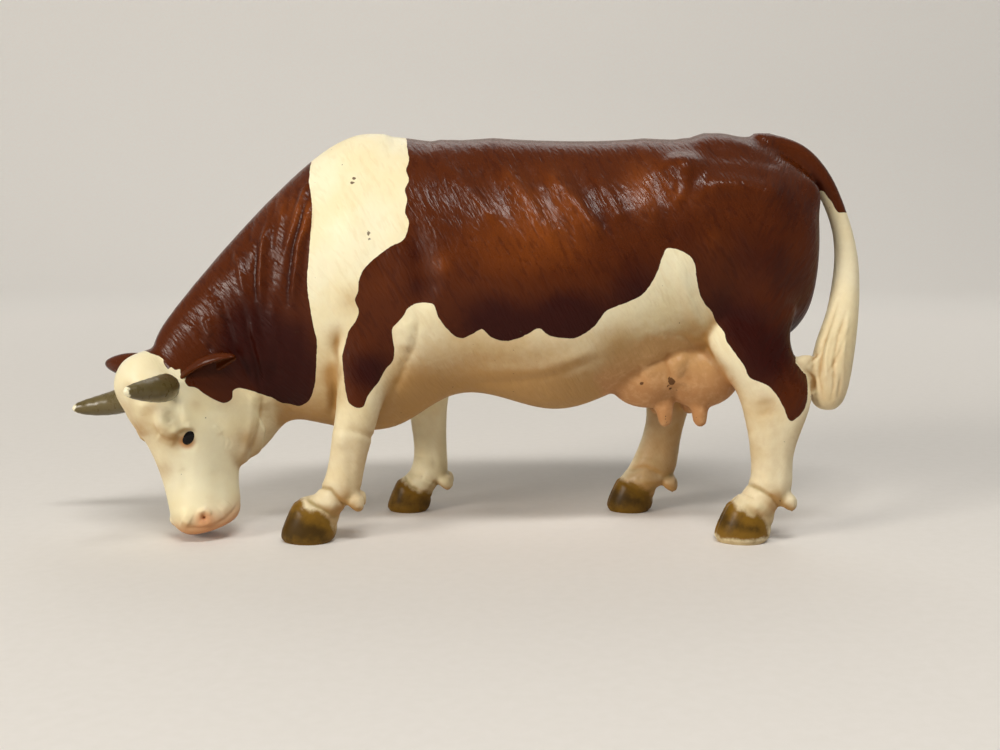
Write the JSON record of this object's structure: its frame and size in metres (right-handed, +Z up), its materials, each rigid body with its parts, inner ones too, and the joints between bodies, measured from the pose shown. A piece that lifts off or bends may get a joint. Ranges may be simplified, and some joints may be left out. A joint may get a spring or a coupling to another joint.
{
  "type": "toy farm animal figure",
  "caption": "Moulded toy cow grazing in a walking pose: red-brown and cream painted coat, head turned to its left, horns, udder and free-hanging tail",
  "frame": {"origin": "on the ground under the middle of the whole figure: centre of the bounding box's bottom face", "axes": "+X towards the tail, -X the way the cow walks, +Z up, -Y the cow's left side, which the head is turned to"},
  "size_m": [0.1466, 0.0478, 0.0732],
  "materials": {
    "trunk": "solid soft PVC, semi-gloss red-brown coat patches painted over cream, fine moulded hair lines",
    "head": "cream PVC with a painted brown neck edge, orange-pink muzzle, black glossy eyes",
    "horns": "grey-olive painted PVC with bare cream tips",
    "ears": "red-brown painted PVC",
    "legs": "cream PVC with olive-brown painted hooves",
    "udder": "tan-pink painted PVC, slightly blotchy",
    "tail": "cream PVC, painted red-brown at the root"
  },
  "bodies": {
    "root": {"trunk": "trunk", "head": "head", "left_horn": "horns", "right_horn": "horns", "left_ear": "ears", "right_ear": "ears", "left_foreleg": "legs", "right_foreleg": "legs", "left_hindleg": "legs", "right_hindleg": "legs", "udder": "udder", "tail": "tail"}
  },
  "joints": []
}
